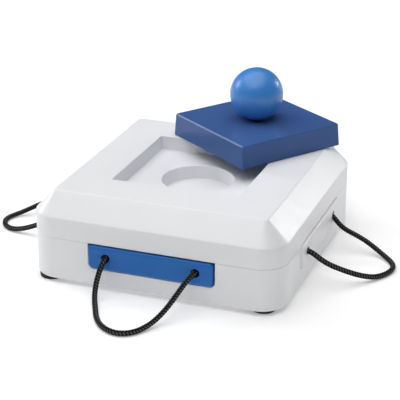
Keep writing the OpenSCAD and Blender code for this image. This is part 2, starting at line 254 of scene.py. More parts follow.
def corner_arc(before, point, after, radius):
    """Round bend in place of a profile's corner. A profile's points are (reach, corner radius, height)."""
    back = before - point
    ahead = after - point
    flat_back = Vector((back.x, back.z))
    flat_ahead = Vector((ahead.x, ahead.z))
    half_angle = flat_back.angle(flat_ahead) / 2
    tangent = radius / math.tan(half_angle)
    first = point + back * (tangent / flat_back.length)
    last = point + ahead * (tangent / flat_ahead.length)
    weight = math.sin(half_angle)
    arc = []
    for step in range(FILLET_STEPS + 1):
        t = step / FILLET_STEPS
        a, b, c = (1 - t) ** 2, 2 * t * (1 - t) * weight, t ** 2
        arc.append((a * first + b * point + c * last) / (a + b + c))
    return arc


def rounded(*corners):
    """Profile through (reach, corner radius, height, fillet radius) corners, with its fillets made."""
    points = [Vector(corner[:3]) for corner in corners]
    profile = [points[0]]
    for i in range(1, len(points) - 1):
        fillet = corners[i][3]
        if fillet:
            profile.extend(corner_arc(points[i - 1], points[i], points[i + 1], fillet))
        else:
            profile.append(points[i])
    profile.append(points[-1])
    return profile


def rect_ring(half_x, half_y, corner, height):
    """Ring of a rectangle with round corners."""
    ring = []
    for sx, sy, turn in ((1, 1, 0), (-1, 1, 90), (-1, -1, 180), (1, -1, 270)):
        for step in range(CORNER_STEPS + 1):
            angle = math.radians(turn + 90 * step / CORNER_STEPS)
            x = sx * (half_x - corner) + corner * math.cos(angle)
            y = sy * (half_y - corner) + corner * math.sin(angle)
            ring.append(Vector((x, y, height)))
    return ring


def square_rings(profile):
    return [rect_ring(reach, reach, corner, height) for reach, corner, height in profile]


def round_rings(profile):
    """Rings of circles, which line up with the rings of squares."""
    rings = []
    for radius, _, height in profile:
        ring = []
        for i in range(RING_POINTS):
            angle = math.pi / 4 + 2 * math.pi * (i - CORNER_STEPS / 2) / RING_POINTS
            ring.append(Vector((radius * math.cos(angle), radius * math.sin(angle), height)))
        rings.append(ring)
    return rings


def outward(vertices, faces):
    """A closed skin with its faces turned outwards."""
    volume = 0
    for face in faces:
        for i in range(1, len(face) - 1):
            volume += vertices[face[0]].dot(vertices[face[i]].cross(vertices[face[i + 1]]))
    if volume < 0:
        faces = [tuple(reversed(face)) for face in faces]
    return vertices, faces


def loft(rings, closed=False):
    """Skin over rings, capped at both ends, or run round to the first ring again."""
    count = len(rings[0])
    vertices = [point for ring in rings for point in ring]
    faces = []
    for i in range(len(rings) if closed else len(rings) - 1):
        low = i * count
        high = (i + 1) % len(rings) * count
        for k in range(count):
            n = (k + 1) % count
            faces.append((low + k, low + n, high + n, high + k))
    if not closed:
        faces.append(tuple(reversed(range(count))))
        faces.append(tuple(range(len(vertices) - count, len(vertices))))
    return outward(vertices, faces)


def lathe(*corners):
    """Turned solid about the z axis, through (radius, height, fillet radius) corners."""
    return loft(round_rings(rounded(*[(radius, 0, height, fillet) for radius, height, fillet in corners])))


def block(low, high):
    """Box between two corners."""
    x0, y0, z0 = low
    x1, y1, z1 = high
    ring = ((x0, y0), (x1, y0), (x1, y1), (x0, y1))
    return loft([[Vector((x, y, z)) for x, y in ring] for z in (z0, z1)])


def joined(*shapes):
    vertices, faces = [], []
    for points, skins in shapes:
        start = len(vertices)
        vertices.extend(points)
        faces.extend(tuple(start + i for i in skin) for skin in skins)
    return vertices, faces


def moved(shape, matrix):
    vertices, faces = shape
    return [matrix @ point for point in vertices], faces


def at_corners(shape, distance):
    """Copies of a shape at the housing's four corners."""
    places = [(sx * distance, sy * distance, 0) for sx in (-1, 1) for sy in (-1, 1)]
    return joined(*[moved(shape, Matrix.Translation(place)) for place in places])


def as_mesh(name, shape, scale=1):
    vertices, faces = shape
    mesh = bpy.data.meshes.new(name)
    mesh.from_pydata([point * scale for point in vertices], [], faces)
    return mesh


def combined(shape, other, operation):
    """Union or difference of two shapes."""
    pair = []
    for each in (shape, other):
        pair.append(bpy.data.objects.new("solid", as_mesh("solid", each)))
        bpy.context.scene.collection.objects.link(pair[-1])
    modifier = pair[0].modifiers.new("combine", "BOOLEAN")
    modifier.operation = operation
    modifier.solver = "EXACT"
    modifier.use_self = True
    modifier.object = pair[1]
    evaluated = pair[0].evaluated_get(bpy.context.evaluated_depsgraph_get())
    work = bmesh.new()
    work.from_mesh(evaluated.to_mesh())
    evaluated.to_mesh_clear()
    bmesh.ops.remove_doubles(work, verts=work.verts, dist=TINY / 2)
    bmesh.ops.dissolve_degenerate(work, edges=work.edges, dist=TINY / 2)
    work.verts.index_update()
    result = [v.co.copy() for v in work.verts], [tuple(v.index for v in f.verts) for f in work.faces]
    work.free()
    for solid in pair:
        bpy.data.meshes.remove(solid.data)
    return result


def union(shape, other):
    return combined(shape, other, "UNION")


def difference(shape, other):
    return combined(shape, other, "DIFFERENCE")


# Pieces

SHARP_ANGLE = math.radians(38)


def add_piece(name, shape, material, body, nodes):
    """Piece that rides on a body in place of CAD nodes."""
    mesh = as_mesh(name, shape, MM)
    mesh.shade_smooth()
    mesh.set_sharp_from_angle(angle=SHARP_ANGLE)
    mesh.materials.append(material)
    piece = bpy.data.objects.new(name, mesh)
    bpy.context.scene.collection.objects.link(piece)
    even = piece.modifiers.new("even_normals", "WEIGHTED_NORMAL")
    even.keep_sharp = True
    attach(piece, body)
    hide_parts(*nodes)
    return piece


# Faces that carry a drawer, each with the turn of its frame
FACE_TURNS = {"front": 0, "right": 90, "left": -90}


def face_matrix(side):
    """From a face's frame to the CAD model's frame."""
    return Matrix.Rotation(math.radians(FACE_TURNS[side]), 4, "Z") @ Matrix.Translation((0, -HALF, 0))


def lid_matrix():
    """From the lid's own frame, foot down, to where it is parked."""
    middle = (LID_LOW + LID_HIGH) / 2
    place = Matrix.Translation((middle.x, middle.y, LID_LOW.z))
    return place @ Matrix.Rotation(math.radians(LID_YAW), 4, "Z")


# Materials

def new_material(name, roughness):
    material = bpy.data.materials.new(name)
    material.use_nodes = True
    shader = material.node_tree.nodes["Principled BSDF"]
    shader.inputs["Roughness"].default_value = roughness
    return material, material.node_tree, shader


def add_node(tree, kind, **values):
    """Shader node whose named inputs are set, with _ for a space in their names."""
    node = tree.nodes.new(kind)
    for name, value in values.items():
        node.inputs[name.replace("_", " ")].default_value = value
    return node


def object_noise(tree, scale, detail):
    """Noise in the piece's own space, with a scale per metre."""
    place = tree.nodes.new("ShaderNodeTexCoord")
    noise = add_node(tree, "ShaderNodeTexNoise", Scale=scale, Detail=detail)
    tree.links.new(place.outputs["Object"], noise.inputs["Vector"])
    return noise.outputs["Fac"]


# Range that most values of a noise lie in
NOISE_LOW = 0.3
NOISE_HIGH = 0.7


def spread(tree, source, low, high):
    """Noise spread out over a range of values."""
    scaled = add_node(
        tree, "ShaderNodeMapRange", From_Min=NOISE_LOW, From_Max=NOISE_HIGH, To_Min=low, To_Max=high,
    )
    tree.links.new(source, scaled.inputs["Value"])
    return scaled.outputs["Result"]


def two_tone(tree, source, first, last, low=NOISE_LOW, high=NOISE_HIGH):
    """Colour that runs from the first to the last while a value goes from low to high."""
    ramp = tree.nodes.new("ShaderNodeValToRGB")
    ramp.color_ramp.elements[0].position = low
    ramp.color_ramp.elements[0].color = (*first, 1)
    ramp.color_ramp.elements[1].position = high
    ramp.color_ramp.elements[1].color = (*last, 1)
    tree.links.new(source, ramp.inputs["Fac"])
    return ramp.outputs["Color"]


def add_bump(tree, shader, source, depth, strength):
    """Relief on a shader, with its depth in millimetres."""
    bump = add_node(tree, "ShaderNodeBump", Strength=strength, Distance=depth * MM)
    tree.links.new(source, bump.inputs["Height"])
    tree.links.new(bump.outputs["Normal"], shader.inputs["Normal"])


# Scales of the materials' noises, per metre
CLOUD_SCALE = 26
FLOW_SCALE = 140
GRAIN_SCALE = 2600
SPECKLE_SCALE = 1800
SPANGLE_SCALE = 900
PITTING_SCALE = 2400
# Depths of the materials' relief
GRAIN_DEPTH = 0.03
SPECKLE_DEPTH = 0.05
PITTING_DEPTH = 0.02
FIBRE_DEPTH = 0.08
# How far the gloss of a plastic goes either way
GLOSS_RANGE = 0.03
# Colours, each as a darker and a lighter tone
WHITE_TONES = (0.875, 0.88, 0.9), (0.89, 0.895, 0.915)
DRAWER_BLUE_TONES = (0.011, 0.14, 0.48), (0.014, 0.155, 0.52)
LID_BLUE_TONES = (0.05, 0.113, 0.312), (0.055, 0.122, 0.332)
KNOB_BLUE_TONES = (0.046, 0.232, 0.635), (0.052, 0.252, 0.67)
RUBBER_TONES = (0.005, 0.005, 0.0055), (0.013, 0.013, 0.014)
STEEL_TONES = (0.42, 0.43, 0.45), (0.62, 0.62, 0.61)
# The rope's tones are painted shade in the grooves between its strands and a painted highlight on their
# crests
ROPE_SHADE_AND_HIGHLIGHT_TONES = (0.001, 0.001, 0.0011), (0.1, 0.1, 0.102)
# Relief from which a rope's strand is painted lighter as a painted highlight on its crest (below it the
# colour is painted shade between the strands), and the little shine that it has
ROPE_PAINTED_HIGHLIGHT_FROM = 0.78
ROPE_SHINE = 0.05


def moulded_plastic(name, tones, roughness, grain, shine=0.5):
    """Moulded plastic: faint clouding in its colour, uneven gloss, and a fine grain from the mould."""
    material, tree, shader = new_material(name, roughness)
    shader.inputs["Specular IOR Level"].default_value = shine
    clouds = object_noise(tree, CLOUD_SCALE, detail=3)
    tree.links.new(two_tone(tree, clouds, *tones), shader.inputs["Base Color"])
    flow = object_noise(tree, FLOW_SCALE, detail=4)
    gloss = spread(tree, flow, roughness - GLOSS_RANGE, roughness + GLOSS_RANGE)
    tree.links.new(gloss, shader.inputs["Roughness"])
    add_bump(tree, shader, object_noise(tree, GRAIN_SCALE, detail=2), GRAIN_DEPTH, strength=grain)
    return material


def rubber():
    """Dull black rubber with a fine speckle."""
    material, tree, shader = new_material("foot_rubber", roughness=0.75)
    speckle = object_noise(tree, SPECKLE_SCALE, detail=4)
    tree.links.new(two_tone(tree, speckle, *RUBBER_TONES), shader.inputs["Base Color"])
    add_bump(tree, shader, speckle, SPECKLE_DEPTH, strength=0.4)
    return material


def zinc_steel():
    """Plated steel with a spangle in its colour and gloss, and fine pitting."""
    material, tree, shader = new_material("screw_steel", roughness=0.35)
    shader.inputs["Metallic"].default_value = 1
    spangle = object_noise(tree, SPANGLE_SCALE, detail=5)
    tree.links.new(two_tone(tree, spangle, *STEEL_TONES), shader.inputs["Base Color"])
    tree.links.new(spread(tree, spangle, low=0.28, high=0.45), shader.inputs["Roughness"])
    add_bump(tree, shader, object_noise(tree, PITTING_SCALE, detail=3), PITTING_DEPTH, strength=0.3)
    return material


# Names of the values that a rope's mesh carries for its material: the relief, which sets the painted shade
# and painted highlight of its colour, and the fibre
RELIEF = "relief"
FIBRE = "fibre"


def braided_nylon():
    """Black braided cord: fine fibres along each strand, painted shade between the strands and a painted
    highlight on their crests.
    """
    material, tree, shader = new_material("rope_black", roughness=0.55)
    shader.inputs["Specular IOR Level"].default_value = ROPE_SHINE
    relief = tree.nodes.new("ShaderNodeAttribute")
    relief.attribute_name = RELIEF
    # Colour from the braid's relief: painted shade in the grooves between the strands, a painted highlight
    # on their crests
    colour = two_tone(tree, relief.outputs["Fac"], *ROPE_SHADE_AND_HIGHLIGHT_TONES, low=ROPE_PAINTED_HIGHLIGHT_FROM, high=1)
    tree.links.new(colour, shader.inputs["Base Color"])
    fibre = tree.nodes.new("ShaderNodeAttribute")
    fibre.attribute_name = FIBRE
    add_bump(tree, shader, fibre.outputs["Fac"], FIBRE_DEPTH, strength=0.8)
    return material


HOUSING_WHITE = moulded_plastic("housing_white", WHITE_TONES, roughness=0.34, grain=0.06)
DRAWER_WHITE = moulded_plastic("drawer_white", WHITE_TONES, roughness=0.34, grain=0.06)
DRAWER_BLUE = moulded_plastic("drawer_blue", DRAWER_BLUE_TONES, roughness=0.36, grain=0.06, shine=0.3)
LID_BLUE = moulded_plastic("lid_blue", LID_BLUE_TONES, roughness=0.2, grain=0.02, shine=0.2)
KNOB_BLUE = moulded_plastic("knob_blue", KNOB_BLUE_TONES, roughness=0.34, grain=0.02, shine=0.6)
ROPE_BLACK = braided_nylon()
FOOT_RUBBER = rubber()
SCREW_STEEL = zinc_steel()


# Upper housing

def top_shell():
    """One moulding: well, recess, flat top, shoulder and wall outside, and the same a wall thickness in."""
    well = round_rings(rounded(
        (WELL_R / 2, 0, WELL_Z, 0),
        (WELL_R, 0, WELL_Z, WELL_FLOOR_R),
        (WELL_R, 0, RECESS_Z, WELL_EDGE_R),
        (WELL_R + 2 * WELL_EDGE_R, 0, RECESS_Z, 0),
    ))
    outside = square_rings(rounded(
        (RECESS_HALF - 2 * RECESS_EDGE_R, RECESS_CORNER_R, RECESS_Z, 0),
        (RECESS_HALF, RECESS_CORNER_R, RECESS_Z, RECESS_EDGE_R),
        (RECESS_HALF, RECESS_CORNER_R, PLATEAU_Z, RECESS_EDGE_R),
        (PLATEAU_HALF, PLATEAU_CORNER_R, PLATEAU_Z, PLATEAU_EDGE_R),
        (HALF, BODY_CORNER_R, WALL_TOP_Z, WALL_TOP_EDGE_R),
        (HALF, BODY_CORNER_R, SPLIT_Z, SPLIT_EDGE_R),
        (HALF - WALL, BODY_CORNER_R - WALL, SPLIT_Z, 0),
        (HALF - WALL, BODY_CORNER_R - WALL, INNER_WALL_TOP_Z, 0),
        (INNER_PLATEAU_HALF, PLATEAU_CORNER_R, PLATEAU_Z - WALL, 0),
        (RECESS_HALF + WALL, RECESS_CORNER_R + WALL, PLATEAU_Z - WALL, 0),
        (RECESS_HALF + WALL, RECESS_CORNER_R + WALL, RECESS_Z - WALL, 0),
    ))
    under_well = round_rings(rounded(
        (WELL_R + WALL, 0, RECESS_Z - WALL, 0),
        (WELL_R + WALL, 0, WELL_Z - WALL, 0),
        (WELL_R / 2, 0, WELL_Z - WALL, 0),
    ))
    boss = lathe(
        (PILOT_R, BOSS_MEET_Z + PILOT_DEPTH, 0),
        (PILOT_R, BOSS_MEET_Z, 0),
        (TOP_BOSS_R, BOSS_MEET_Z, 0),
        (TOP_BOSS_R, PLATEAU_Z - WALL / 2, 0),
        (PILOT_R, PLATEAU_Z - WALL / 2, 0),
    )
    shape = union(loft(well + outside + under_well), at_corners(boss, BOSS_AT))
    add_piece("top_shell_skin", shape, HOUSING_WHITE, "housing", ["top_shell"])


# Lower housing

def plate_outline(half_w, low, high, low_r, high_r, grow):
    """Outline of an upright plate in x and z, grown by a distance, with its corners rounded."""
    outline = []
    corners = ((1, low, low_r, -90), (1, high, high_r, 0), (-1, high, high_r, 90), (-1, low, low_r, 180))
    for side, level, radius, turn in corners:
        inwards = 1 if level == low else -1
        for step in range(ARC_STEPS + 1):
            angle = math.radians(turn + 90 * step / ARC_STEPS)
            x = side * (half_w - radius) + (radius + grow) * math.cos(angle)
            z = level + inwards * radius + (radius + grow) * math.sin(angle)
            outline.append((x, z))
    return outline


def upright_loft(outline_at, profile):
    """Skin over upright outlines: the profile's points are (growth, not used, depth)."""
    rings = []
    for grow, _, depth in profile:
        rings.append([Vector((x, depth, z)) for x, z in outline_at(grow)])
    return loft(rings)


def opening_cutter():
    """What a drawer's opening takes out of the lower housing, with a soft outer edge."""
    depth = WALL + LIP_GAP + LIP_T + SLIDE_GAP

    def outline_at(grow):
        top = SPLIT_Z + LIP_H + PAST
        low_r = PLATE_CORNER_R + DRAWER_GAP
        return plate_outline(OPENING_HALF_W, OPENING_Z, top, low_r, OPENING_TOP_CORNER_R, grow)

    return upright_loft(outline_at, rounded(
        (OPENING_EDGE_R + SMALL, 0, -TINY, 0),
        (0, 0, -TINY, OPENING_EDGE_R),
        (0, 0, depth, 0),
    ))


def drawer_pocket():
    """Guide walls beside and behind a tray, and two rails under it."""
    front = WALL - WELD
    back = DRAWER_DEPTH + REAR_GAP + GUIDE_T
    low = FLOOR_Z - WELD
    shapes = [block((-POCKET_HALF, back - GUIDE_T, low), (POCKET_HALF, back, GUIDE_TOP_Z))]
    for side in (-1, 1):
        guide = side * (POCKET_HALF - GUIDE_T / 2)
        rail = side * RAIL_AT
        for x, top in ((guide, GUIDE_TOP_Z), (rail, RAIL_TOP_Z)):
            shapes.append(block((x - GUIDE_T / 2, front, low), (x + GUIDE_T / 2, back - WELD, top)))
    return joined(*shapes)


def base_shell():
    """Wall, floor and locating lip, then what stands on the floor, less the openings and screw holes."""
    lip = HALF - WALL - LIP_GAP
    lip_corner = BODY_CORNER_R - WALL - LIP_GAP
    inner = HALF - WALL
    inner_corner = BODY_CORNER_R - WALL
    skin = loft(square_rings(rounded(
        (HALF - 3 * UNDERSIDE_EDGE_R, BODY_CORNER_R - 3 * UNDERSIDE_EDGE_R, UNDERSIDE_Z, 0),
        (HALF, BODY_CORNER_R, UNDERSIDE_Z, UNDERSIDE_EDGE_R),
        (HALF, BODY_CORNER_R, SPLIT_Z, SPLIT_EDGE_R),
        (lip, lip_corner, SPLIT_Z, 0),
        (lip, lip_corner, SPLIT_Z + LIP_H, 0),
        (lip - LIP_T, lip_corner - LIP_T, SPLIT_Z + LIP_H, 0),
        (lip - LIP_T, lip_corner - LIP_T, SPLIT_Z - LIP_ROOT, 0),
        (inner, inner_corner, SPLIT_Z - LIP_ROOT, 0),
        (inner, inner_corner, FLOOR_Z, INSIDE_EDGE_R),
        (inner - 3 * INSIDE_EDGE_R, inner_corner - 3 * INSIDE_EDGE_R, FLOOR_Z, 0),
    )))
    boss = lathe(
        (HIDDEN_END_R, FLOOR_Z - WELD, 0),
        (BASE_BOSS_R, FLOOR_Z - WELD, 0),
        (BASE_BOSS_R, BOSS_MEET_Z, 0),
        (HIDDEN_END_R, BOSS_MEET_Z, 0),
    )
    seat_z = node_box("housing_screws")[0].z + SCREW_HEAD_H
    hole = lathe(
        (HIDDEN_END_R, UNDERSIDE_Z - PAST, 0),
        (COUNTERBORE_R, UNDERSIDE_Z - PAST, 0),
        (COUNTERBORE_R, seat_z, 0),
        (SCREW_HOLE_R, seat_z, 0),
        (SCREW_HOLE_R, BOSS_MEET_Z + PAST, 0),
        (HIDDEN_END_R, BOSS_MEET_Z + PAST, 0),
    )
    pockets = [moved(drawer_pocket(), face_matrix(side)) for side in FACE_TURNS]
    openings = [moved(opening_cutter(), face_matrix(side)) for side in FACE_TURNS]
    shape = union(skin, joined(at_corners(boss, BOSS_AT), *pockets))
    shape = difference(shape, joined(at_corners(hole, BOSS_AT), *openings))
    add_piece("base_shell_skin", shape, HOUSING_WHITE, "housing", ["base_shell"])


# Lid and its ball

def lid_shell():
    """One moulding, open below, with a boss for the ball's screw."""
    ceiling = LID_H - LID_WALL
    hollow = LID_TOP_HALF - LID_WALL
    boss_z = ceiling - LID_BOSS_H
    skin = square_rings(rounded(
        (LID_TOP_HALF - 2 * LID_CHAMFER_IN, SMALL, LID_H, 0),
        (LID_TOP_HALF - LID_CHAMFER_IN, LID_CORNER_R - LID_CHAMFER_IN, LID_H, LID_CHAMFER_R),
        (LID_TOP_HALF, LID_CORNER_R, LID_H - LID_CHAMFER_DOWN, LID_CHAMFER_R),
        (LID_HALF, LID_CORNER_R, 0, LID_FOOT_R),
        (hollow, LID_FOOT_R, 0, LID_FOOT_R),
        (hollow, LID_FOOT_R, ceiling, INSIDE_EDGE_R),
        (hollow - 2 * INSIDE_EDGE_R, SMALL, ceiling, 0),
    ))
    boss = round_rings(rounded(
        (LID_BOSS_R + 2 * INSIDE_EDGE_R, 0, ceiling, 0),
        (LID_BOSS_R, 0, ceiling, INSIDE_EDGE_R),
        (LID_BOSS_R, 0, boss_z, LID_FOOT_R),
        (LID_SCREW_HOLE_R, 0, boss_z, 0),
        (LID_SCREW_HOLE_R, 0, ceiling, 0),
        (LID_SCREW_HOLE_R / 2, 0, ceiling, 0),
    ))
    shape = moved(loft(skin + boss), lid_matrix())
    add_piece("lid_skin", shape, LID_BLUE, "lid", ["lid_shell"])


def ball_knob():
    """Ball with a flat seat on the lid."""
    seat_angle = -math.acos(BALL_SEAT_R / BALL_R)
    rise = -BALL_R * math.sin(seat_angle)
    profile = [Vector((BALL_SEAT_R / 2, 0, 0))]
    for step in range(BALL_STEPS):
        angle = seat_angle + (math.pi / 2 - seat_angle) * step / BALL_STEPS
        profile.append(Vector((BALL_R * math.cos(angle), 0, rise + BALL_R * math.sin(angle))))
    profile.append(Vector((SMALL, 0, rise + BALL_R)))
    place = lid_matrix() @ Matrix.Translation((0, 0, LID_H))
    shape = moved(loft(round_rings(profile)), place)
    add_piece("ball_skin", shape, KNOB_BLUE, "lid", ["ball_knob"])


# Screws, washer and feet

def cross_cutter(reach, depth):
    """Tapered cross that a screwdriver fits, opening downwards on z = 0."""
    arm = reach / 4
    outline = [
        (reach, -arm), (reach, arm), (arm, arm), (arm, reach), (-arm, reach), (-arm, arm),
        (-reach, arm), (-reach, -arm), (-arm, -arm), (-arm, -reach), (arm, -reach), (arm, -arm),
    ]
    rings = []
    for height, share in ((-PAST, CROSS_MOUTH), (0, 1), (depth, CROSS_BOTTOM)):
        rings.append([Vector((x * share, y * share, height)) for x, y in outline])
    return loft(rings)


def pan_screw(head_r, head_h, shank_r, length):
    """Screw that points up, with its head's lower face on z = 0."""
    tip = shank_r / 2
    turned = lathe(
        (head_r / 3, 0, 0),
        (head_r, 0, head_h / 2),
        (head_r, head_h, SMALL),
        (shank_r, head_h, 0),
        (shank_r, length - tip, 0),
        (shank_r - tip, length, 0),
    )
    return difference(turned, cross_cutter(head_r * CROSS_REACH, head_h * CROSS_DEPTH))


def screws_and_washer():
    low, high = node_box("housing_screws")
    screw = pan_screw(SCREW_HEAD_R, SCREW_HEAD_H, SCREW_R, high.z - low.z)
    shape = moved(at_corners(screw, BOSS_AT), Matrix.Translation((0, 0, low.z)))
    add_piece("housing_screw_set", shape, SCREW_STEEL, "housing", ["housing_screws"])
    low, high = node_box("knob_screw")
    middle = node_middle("knob_screw")
    screw = pan_screw(KNOB_HEAD_R, KNOB_HEAD_H, KNOB_SCREW_R, high.z - low.z)
    shape = moved(screw, Matrix.Translation((middle.x, middle.y, low.z)))
    add_piece("knob_screw_turned", shape, SCREW_STEEL, "lid", ["knob_screw"])
    low, high = node_box("knob_washer")
    outer = (high.x - low.x) / 2
    rings = round_rings(rounded(
        (LID_SCREW_HOLE_R, 0, low.z, 0),
        (outer, 0, low.z, WASHER_EDGE_R),
        (outer, 0, high.z, WASHER_EDGE_R),
        (LID_SCREW_HOLE_R, 0, high.z, 0),
    ))
    shape = moved(loft(rings, closed=True), Matrix.Translation((middle.x, middle.y, 0)))
    add_piece("knob_washer_turned", shape, SCREW_STEEL, "lid", ["knob_washer"])


def feet():
    for corner, (shift_x, shift_y) in FOOT_SHIFTS.items():
        node = "foot_" + corner
        low, high = node_box(node)
        middle = node_middle(node)
        radius = (high.x - low.x) / 2
        turned = lathe(
            (radius / 2, low.z, 0),
            (radius, low.z, FOOT_EDGE_R),
            (radius, UNDERSIDE_Z, SMALL),
            (FOOT_STEM_R, UNDERSIDE_Z, 0),
            (FOOT_STEM_R, high.z, SMALL),
            (FOOT_STEM_R / 2, high.z, 0),
        )
        shape = moved(turned, Matrix.Translation((middle.x + shift_x, middle.y + shift_y, 0)))
        add_piece(node + "_pad", shape, FOOT_RUBBER, "housing", [node])


# Drawers

def front_plate(slack):
    """A drawer's front plate. It stands a little proud, and sits low and to one side in its opening."""
    half_w = DRAWER_HALF_W - PLATE_TRIM
    low = DRAWER_Z - PLATE_SAG
    top = DRAWER_TOP_Z - slack

    def outline_at(grow):
        return plate_outline(half_w, low, top, PLATE_CORNER_R, PLATE_TOP_CORNER_R, grow)

    plate = upright_loft(outline_at, rounded(
        (-PLATE_EDGE_R - SMALL, 0, -PLATE_PROUD, 0),
        (0, 0, -PLATE_PROUD, PLATE_EDGE_R),
        (0, 0, PLATE_T, PLATE_BACK_R),
        (-PLATE_BACK_R - SMALL, 0, PLATE_T, 0),
    ))
    return moved(plate, Matrix.Translation((-PLATE_SHIFT, 0, 0)))


def tray_block():
    """Outside of a tray, which runs a little into the front plate."""
    front = PLATE_T - WELD
    half_y = (DRAWER_DEPTH - front) / 2
    rings = []
    low = DRAWER_Z + SMALL
    for reach, corner, height in rounded(
        (-2 * TRAY_EDGE_R, TRAY_CORNER_R, low, 0),
        (0, TRAY_CORNER_R, low, TRAY_EDGE_R),
        (0, TRAY_CORNER_R, TRAY_TOP_Z, TRAY_EDGE_R),
        (-2 * TRAY_EDGE_R, TRAY_CORNER_R, TRAY_TOP_Z, 0),
    ):
        rings.append(rect_ring(TRAY_HALF_W + reach, half_y + reach, corner, height))
    return moved(loft(rings), Matrix.Translation((0, front + half_y, 0)))


def tray_hollow():
    """Inside of a tray, which opens upwards with a soft rim."""
    front = PLATE_T - SMALL
    back = DRAWER_DEPTH - TRAY_WALL
    half_y = (back - front) / 2
    floor = DRAWER_Z + TRAY_WALL
    rings = []
    for reach, corner, height in rounded(
        (-2 * TRAY_INSIDE_R, TRAY_INSIDE_R, floor, 0),
        (0, TRAY_INSIDE_R, floor, TRAY_INSIDE_R),
        (0, TRAY_INSIDE_R, TRAY_TOP_Z + PAST, 0),
    ):
        rings.append(rect_ring(TRAY_HALF_W - TRAY_WALL + reach, half_y + reach, corner, height))
    return moved(loft(rings), Matrix.Translation((0, front + half_y, 0)))


def rope_hole():
    """Cutter of a rope hole that is rounded where the rope comes out. Its axis is y."""
    turned = lathe(
        (ROPE_HOLE_R + ROPE_HOLE_EDGE_R + SMALL, PLATE_PROUD + TINY, 0),
        (ROPE_HOLE_R, PLATE_PROUD + TINY, ROPE_HOLE_EDGE_R),
        (ROPE_HOLE_R, -PLATE_T - PAST, 0),
        (ROPE_HOLE_R / 2, -PLATE_T - PAST, 0),
    )
    return moved(turned, Matrix.Rotation(math.radians(90), 4, "X"))


def drawer_shape(slack):
    stop = block((-STOP_HALF_W, STOP_Y, STOP_LOW_Z), (STOP_HALF_W, STOP_Y + STOP_T, DRAWER_Z + WELD))
    shape = union(front_plate(slack), joined(tray_block(), stop))
    holes = [moved(rope_hole(), Matrix.Translation((side * ROPE_SPAN / 2, 0, ROPE_Z))) for side in (-1, 1)]
    return difference(shape, joined(tray_hollow(), *holes))


def drawers():
    for side in FACE_TURNS:
        blue = side == "front"
        material = DRAWER_BLUE if blue else DRAWER_WHITE
        shape = drawer_shape(BLUE_PLATE_SLACK if blue else WHITE_PLATE_SLACK)
        placed = moved(shape, face_matrix(side))
        add_piece("drawer_" + side + "_skin", placed, material, side + "_drawer", ["drawer_" + side])


# Rope loops. A route's points are along the face, out from the face, and up from the table

ROPE_ENDS = [(-ROPE_SPAN / 2, -PLATE_T, ROPE_Z), (ROPE_SPAN / 2, -PLATE_T, ROPE_Z)]
ROUTES = {
    "front": [
        (-35.5, 0.6, 27.5), (-35.8, 4.6, 26), (-36.5, 8, 22.8), (-37.3, 10.4, 18.4),
        (-38, 12.6, 13.6), (-38, 15.4, 8.8), (-36.8, 19.4, 4.8), (-34.4, 24.6, 2.4), (-31.2, 30.8, 2.2),
        (-28.2, 36.8, 2.2), (-25, 43, 2.2), (-20.5, 50, 2.2), (-14, 56.4, 2.2), (-6, 60.8, 2.2),
        (2.5, 61, 2.2), (9.4, 56.4, 2.2), (13.8, 49.4, 2.4), (17.4, 42.6, 3.6), (21, 36.4, 6.6),
        (24.2, 30.2, 10.6), (26.8, 24, 14.8), (29, 18.2, 19), (31, 12.8, 22.8), (33, 7.2, 26),
        (34.8, 2, 27.4),
    ],
    "right": [
        (-35.5, 1, 27.5), (-36.2, 5.6, 26.4), (-36.8, 10.2, 23.4), (-35.8, 16, 19.6),
        (-32.6, 22, 15.8), (-28.6, 28.8, 12), (-24.4, 36, 8.4), (-18.6, 42.8, 5), (-11.8, 49, 2.4),
        (-4, 54.4, 2.2), (5, 57.6, 2.2), (14.4, 56.6, 2.2), (22.4, 51, 2.2), (28, 43.4, 4),
        (31.2, 36.2, 7.2), (32.8, 29.2, 10.6), (33.4, 22.6, 13.4), (33.8, 16.4, 15.6), (34.6, 10.8, 17.6),
        (35.2, 6.8, 20.4), (35.5, 3.6, 23.8), (35.5, 0.6, 26.7),
    ],
    "left": [
        (-35.5, 2, 27.5), (-35.8, 7.5, 26.6), (-34, 13.5, 23.6), (-30, 21, 19.8),
        (-25, 29, 16.4), (-19, 38, 13), (-13.5, 46.5, 9.6), (-8.5, 55, 5.6), (-3, 62.5, 2.4),
        (5, 67.4, 2.2), (14, 67, 2.2), (22, 62.2, 2.2), (26.8, 55, 2.2), (27.8, 46, 3.4),
        (27.4, 38, 6), (28, 30, 9.6), (30, 22.5, 14), (32.4, 15.5, 19), (34.5, 9, 24.2),
        (35.5, 3, 27.5),
    ],
}


def smooth_line(points):
    """Cubic B-spline that starts and ends on the first and last point."""
    route = np.array(points, float)
    held = np.concatenate([route[:1], route[:1], route, route[-1:], route[-1:]])
    line = []
    for a, b, c, d in zip(held, held[1:], held[2:], held[3:]):
        for t in np.arange(SPLINE_STEPS) / SPLINE_STEPS:
            second = 3 * t ** 3 - 6 * t ** 2 + 4
            third = -3 * t ** 3 + 3 * t ** 2 + 3 * t + 1
            line.append(((1 - t) ** 3 * a + second * b + third * c + t ** 3 * d) / 6)
    return np.array(line + [route[-1]])


def lengths_along(line):
    steps = np.linalg.norm(np.diff(line, axis=0), axis=1)
    return np.concatenate([[0], np.cumsum(steps)])


def even_line(line, step):
    """The same line, with its points a step apart."""
    along = lengths_along(line)
    wanted = np.linspace(0, along[-1], round(along[-1] / step) + 1)
    return np.column_stack([np.interp(wanted, along, line[:, axis]) for axis in range(3)])


def unit_rows(rows):
    return rows / np.linalg.norm(rows, axis=-1, keepdims=True)


